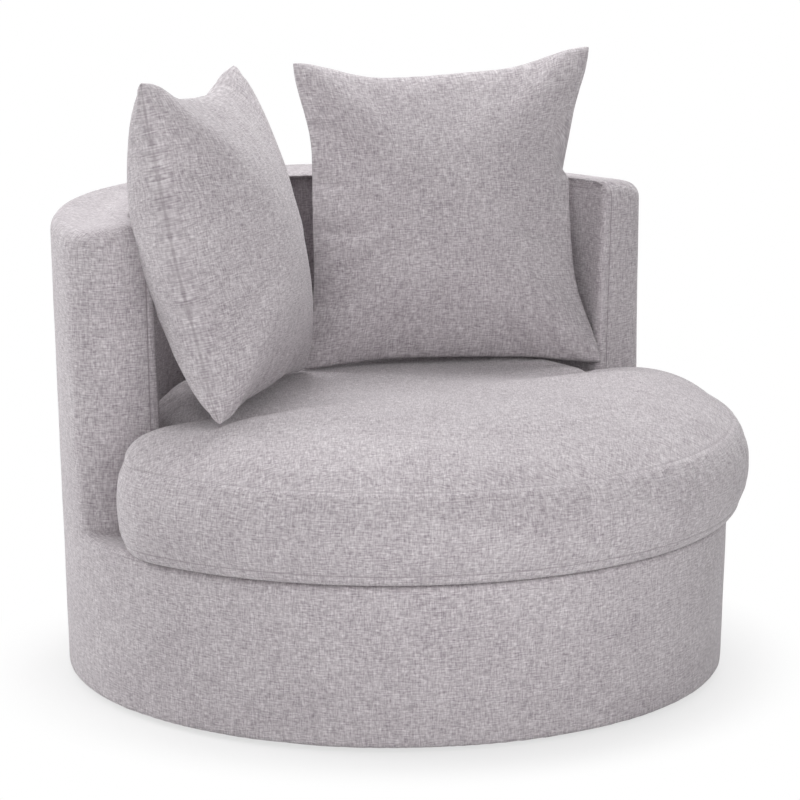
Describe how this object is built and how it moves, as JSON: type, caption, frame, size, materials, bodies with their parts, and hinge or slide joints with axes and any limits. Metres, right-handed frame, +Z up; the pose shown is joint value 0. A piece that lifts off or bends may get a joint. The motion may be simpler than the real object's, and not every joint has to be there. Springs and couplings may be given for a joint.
{
  "type": "cuddle chair",
  "caption": "Round upholstered swivel cuddle chair with a low curved back that ends in arms, a thick overhanging seat cushion and loose square scatter pillows.",
  "frame": {"origin": "centre of the floor pad's underside, on the swivel axis", "axes": "+Z up, -Y out of the chair's open front, +X to the chair's right side as seen from its front, millimetres in the source and metres in the row"},
  "size_m": [1.0424, 1.0458, 0.8971],
  "materials": {
    "upholstery": "woven melange cloth with fine slubs, matt",
    "cushion_fabric": "woven melange cloth with fine slubs, matt",
    "pillow_fabric": "woven melange cloth with fine slubs, matt",
    "foam": "cut upholstery foam",
    "fibre": "polyester fibre",
    "dust_cloth": "non-woven black cloth",
    "felt": "pressed felt",
    "plywood": "raw plywood",
    "fibreboard": "raw thin fibreboard",
    "steel": "plain steel",
    "zip": "zip tape and teeth"
  },
  "bodies": {
    "base": {"floor_pad": "felt", "base_board": "plywood", "lower_swivel_plate": "steel", "base_bolt_1": "steel", "base_bolt_2": "steel", "base_bolt_3": "steel", "base_bolt_4": "steel"},
    "ball_ring": {"ball_ring": "steel"},
    "chair": {"bottom_board": "plywood", "seat_ring": "plywood", "top_rail": "plywood", "arm_post_left": "plywood", "arm_post_right": "plywood", "lower_rib_1": "plywood", "lower_rib_2": "plywood", "lower_rib_3": "plywood", "lower_rib_4": "plywood", "lower_rib_5": "plywood", "lower_rib_6": "plywood", "upper_rib_1": "plywood", "upper_rib_2": "plywood", "upper_rib_3": "plywood", "upper_rib_4": "plywood", "upper_rib_5": "plywood", "upper_swivel_plate": "steel", "swivel_bolt_1": "steel", "swivel_bolt_2": "steel", "swivel_bolt_3": "steel", "swivel_bolt_4": "steel", "seat_spring_1": "steel", "seat_spring_2": "steel", "seat_spring_3": "steel", "seat_spring_4": "steel", "seat_spring_5": "steel", "outside_panel": "fibreboard", "inside_panel": "fibreboard", "front_panel": "fibreboard", "dust_cover": "dust_cloth", "deck_foam": "foam", "inside_padding": "foam", "rim_padding": "foam", "front_padding": "foam", "arm_foam_left": "foam", "arm_foam_right": "foam", "outside_padding": "fibre", "outside_cover": "upholstery", "inside_cover": "upholstery", "front_cover": "upholstery", "arm_cover_left": "upholstery", "arm_cover_right": "upholstery", "deck_cover": "upholstery"},
    "seat_cushion": {"seat_cushion_cover": "cushion_fabric", "seat_cushion_core": "foam", "seat_cushion_zip": "zip"},
    "pillow_left": {"pillow_left_cover": "pillow_fabric", "pillow_left_filling": "fibre", "pillow_left_zip": "zip"},
    "pillow_right": {"pillow_right_cover": "pillow_fabric", "pillow_right_filling": "fibre", "pillow_right_zip": "zip"}
  },
  "joints": [
    {"name": "swivel", "type": "hinge", "parent": "base", "child": "chair", "pos_m": [0, 0, 0.03], "axis": [0, 0, 1], "continuous": true},
    {"name": "ball_ring_roll", "type": "hinge", "parent": "base", "child": "ball_ring", "pos_m": [0, 0, 0.03], "axis": [0, 0, 1], "continuous": true},
    {"name": "seat_cushion_lift", "type": "slide", "parent": "chair", "child": "seat_cushion", "axis": [0, 0, 1], "range_m": [0, 0.5]},
    {"name": "pillow_left_lift", "type": "slide", "parent": "seat_cushion", "child": "pillow_left", "axis": [0, 0, 1], "range_m": [0, 0.5]},
    {"name": "pillow_right_lift", "type": "slide", "parent": "seat_cushion", "child": "pillow_right", "axis": [0, 0, 1], "range_m": [0, 0.5]}
  ],
  "couplings": [
    {"joint": "ball_ring_roll", "follows": "swivel", "ratio": 0.5}
  ]
}
